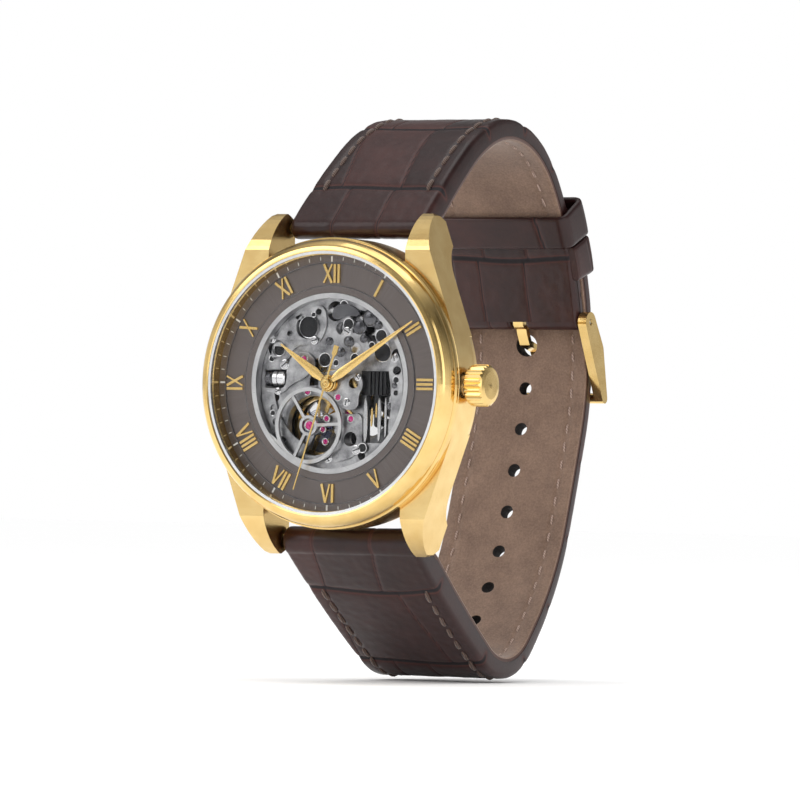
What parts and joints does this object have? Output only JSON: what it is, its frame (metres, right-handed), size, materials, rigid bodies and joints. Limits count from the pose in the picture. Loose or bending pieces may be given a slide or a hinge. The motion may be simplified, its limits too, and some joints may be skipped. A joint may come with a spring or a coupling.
{
  "type": "automatic skeleton wristwatch",
  "caption": "Gold-coloured automatic skeleton wristwatch: dark dial ring, applied Roman numerals, fluted crown, brown crocodile-grain strap buckled into a loop.",
  "frame": {"origin": "centre of the case back's outer face, on the axis of the hands", "axes": "+X towards 3 o'clock and the crown, +Y out of the case back towards the wrist, +Z towards 12 o'clock; the dial faces -Y"},
  "size_m": [0.0442, 0.0642, 0.0794],
  "materials": {
    "gold_polished": "polished",
    "steel_polished": "polished",
    "steel_brushed": "brushed",
    "plate_grey": "blasted",
    "dial_dark": "brushed, dark",
    "brass_gear": "polished",
    "blue_spring": "heat blued",
    "ruby": "polished",
    "crystal": "clear",
    "black_metal": "satin",
    "gasket": "matt",
    "gasket_white": "matt",
    "croc_leather": "glossy, embossed",
    "lining_leather": "nubuck"
  },
  "bodies": {
    "watch": {"case_middle": "gold_polished", "bezel": "gold_polished", "crystal": "crystal", "crystal_gasket": "gasket_white", "rehaut": "gold_polished", "case_back": "gold_polished", "case_back_glass": "crystal", "case_back_gasket": "gasket", "crown_tube": "steel_brushed", "spring_bars": "steel_brushed", "dial_ring": "dial_dark", "skeleton_rim": "steel_polished", "hour_numerals": "gold_polished", "movement_ring": "steel_brushed", "main_plate": "plate_grey", "barrel_bridge": "plate_grey", "train_bridge": "plate_grey", "balance_cock": "plate_grey", "pallet_bridge": "plate_grey", "plate_jewels": "ruby", "movement_screws": "steel_polished", "rotor_bearing": "steel_polished", "keyless_cover": "black_metal", "upper_strap": "croc_leather", "upper_lining": "lining_leather", "lower_strap": "croc_leather", "lower_lining": "lining_leather", "fixed_keeper": "croc_leather", "buckle_bar": "steel_brushed"},
    "minute": {"centre_wheel": "brass_gear", "cannon_pinion": "steel_polished", "minute_hand": "gold_polished"},
    "hour": {"hour_wheel": "brass_gear", "hour_hand": "gold_polished"},
    "third": {"third_wheel": "brass_gear"},
    "seconds": {"fourth_wheel": "brass_gear", "seconds_hand": "gold_polished"},
    "escape": {"escape_wheel": "steel_polished"},
    "barrel_drum": {"barrel": "steel_polished", "mainspring": "steel_brushed"},
    "minute_works": {"minute_wheel": "brass_gear"},
    "fork": {"pallet_fork": "steel_polished"},
    "balance": {"balance_wheel": "brass_gear", "hairspring": "blue_spring"},
    "rotor_body": {"rotor": "steel_brushed"},
    "reverser": {"reversing_wheel": "brass_gear"},
    "crown_pulled": {"crown_gasket": "gasket"},
    "crown_turned": {"crown": "gold_polished", "winding_stem": "steel_polished"},
    "pinion": {"winding_pinion": "steel_polished"},
    "clutch": {"sliding_clutch": "steel_polished"},
    "crown_wheel_body": {"crown_wheel": "steel_brushed"},
    "ratchet": {"ratchet_wheel": "steel_brushed", "barrel_arbor": "steel_polished"},
    "click_body": {"click": "steel_brushed"},
    "lever": {"setting_lever": "steel_polished"},
    "yoke_body": {"yoke": "steel_polished"},
    "buckle": {"buckle_frame": "gold_polished"},
    "tongue": {"buckle_tongue": "gold_polished"},
    "sliding_keeper": {"free_keeper": "croc_leather"}
  },
  "joints": [
    {"name": "minute_turn", "type": "hinge", "parent": "watch", "child": "minute", "pos_m": [0, 0, 0], "axis": [0, 1, 0], "continuous": true},
    {"name": "hour_turn", "type": "hinge", "parent": "watch", "child": "hour", "pos_m": [0, 0, 0], "axis": [0, 1, 0], "continuous": true},
    {"name": "third_turn", "type": "hinge", "parent": "watch", "child": "third", "pos_m": [-0.00435, -0.004, -0.00116], "axis": [0, 1, 0], "continuous": true},
    {"name": "seconds_turn", "type": "hinge", "parent": "watch", "child": "seconds", "pos_m": [0, 0, 0], "axis": [0, 1, 0], "continuous": true},
    {"name": "escape_turn", "type": "hinge", "parent": "watch", "child": "escape", "pos_m": [0.00228, -0.004, -0.00394], "axis": [0, 1, 0], "continuous": true},
    {"name": "barrel_turn", "type": "hinge", "parent": "watch", "child": "barrel_drum", "pos_m": [0.00326, -0.0055, 0.00502], "axis": [0, 1, 0], "continuous": true},
    {"name": "minute_wheel_turn", "type": "hinge", "parent": "watch", "child": "minute_works", "pos_m": [0.00218, -0.0079, -0.00101], "axis": [0, 1, 0], "continuous": true},
    {"name": "fork_swing", "type": "hinge", "parent": "watch", "child": "fork", "pos_m": [-0.00047, -0.0042, -0.00491], "axis": [0, 1, 0], "range_deg": [-5, 5]},
    {"name": "balance_swing", "type": "hinge", "parent": "watch", "child": "balance", "pos_m": [-0.0033, -0.0052, -0.0059], "axis": [0, 1, 0], "range_deg": [-270, 270], "stiffness_Nm_per_rad": 0.00000057},
    {"name": "rotor_turn", "type": "hinge", "parent": "watch", "child": "rotor_body", "pos_m": [0, 0, 0], "axis": [0, 1, 0], "continuous": true},
    {"name": "reverser_turn", "type": "hinge", "parent": "watch", "child": "reverser", "pos_m": [-0.00186, -0.0027, -0.00265], "axis": [0, 1, 0], "continuous": true},
    {"name": "crown_pull", "type": "slide", "parent": "watch", "child": "crown_pulled", "axis": [1, 0, 0], "range_m": [0, 0.0012]},
    {"name": "crown_turn", "type": "hinge", "parent": "crown_pulled", "child": "crown_turned", "pos_m": [0, -0.0056, 0], "axis": [1, 0, 0], "continuous": true},
    {"name": "winding_pinion_turn", "type": "hinge", "parent": "watch", "child": "pinion", "pos_m": [0, -0.0056, 0], "axis": [1, 0, 0], "continuous": true},
    {"name": "clutch_turn", "type": "hinge", "parent": "watch", "child": "clutch", "pos_m": [0, -0.0056, 0], "axis": [1, 0, 0], "continuous": true},
    {"name": "crown_wheel_turn", "type": "hinge", "parent": "watch", "child": "crown_wheel_body", "pos_m": [0.0061, -0.004, 0.00076], "axis": [0, 1, 0], "continuous": true},
    {"name": "ratchet_turn", "type": "hinge", "parent": "watch", "child": "ratchet", "pos_m": [0.00326, -0.004, 0.00502], "axis": [0, 1, 0], "continuous": true},
    {"name": "click_swing", "type": "hinge", "parent": "watch", "child": "click_body", "pos_m": [0.00081, -0.004, 0.00926], "axis": [0, 1, 0], "range_deg": [-8, 0], "stiffness_Nm_per_rad": 0.000001},
    {"name": "setting_lever_swing", "type": "hinge", "parent": "watch", "child": "lever", "pos_m": [0.0106, -0.0066, 0.0024], "axis": [0, 1, 0], "range_deg": [-29, 0]},
    {"name": "yoke_swing", "type": "hinge", "parent": "watch", "child": "yoke_body", "pos_m": [0.007, -0.0066, -0.0056], "axis": [0, 1, 0], "range_deg": [-6, 6]},
    {"name": "buckle_swing", "type": "hinge", "parent": "watch", "child": "buckle", "pos_m": [0, 0.04622, 0.01035], "axis": [1, 0, 0], "range_deg": [0, 5]},
    {"name": "tongue_swing", "type": "hinge", "parent": "buckle", "child": "tongue", "pos_m": [0, 0.04622, 0.01035], "axis": [1, 0, 0], "range_deg": [0, 3]},
    {"name": "keeper_slide", "type": "hinge", "parent": "watch", "child": "sliding_keeper", "pos_m": [0, -0.00036, 0.00214], "axis": [1, 0, 0], "range_deg": [0, 3.4]}
  ],
  "couplings": [
    {"joint": "hour_turn", "follows": "minute_turn", "ratio": 0.083333},
    {"joint": "third_turn", "follows": "minute_turn", "ratio": -8},
    {"joint": "seconds_turn", "follows": "minute_turn", "ratio": 60},
    {"joint": "escape_turn", "follows": "minute_turn", "ratio": -720},
    {"joint": "barrel_turn", "follows": "minute_turn", "ratio": -0.15},
    {"joint": "minute_wheel_turn", "follows": "minute_turn", "ratio": -0.33333},
    {"joint": "reverser_turn", "follows": "rotor_turn", "ratio": -1.25},
    {"joint": "winding_pinion_turn", "follows": "crown_turn", "ratio": 1},
    {"joint": "clutch_turn", "follows": "crown_turn", "ratio": 1},
    {"joint": "crown_wheel_turn", "follows": "crown_turn", "ratio": -0.58333},
    {"joint": "ratchet_turn", "follows": "crown_turn", "ratio": 0.35},
    {"joint": "setting_lever_swing", "follows": "crown_pull", "rad_per_m": -408.3},
    {"joint": "yoke_swing", "follows": "crown_pull", "rad_per_m": -75}
  ]
}
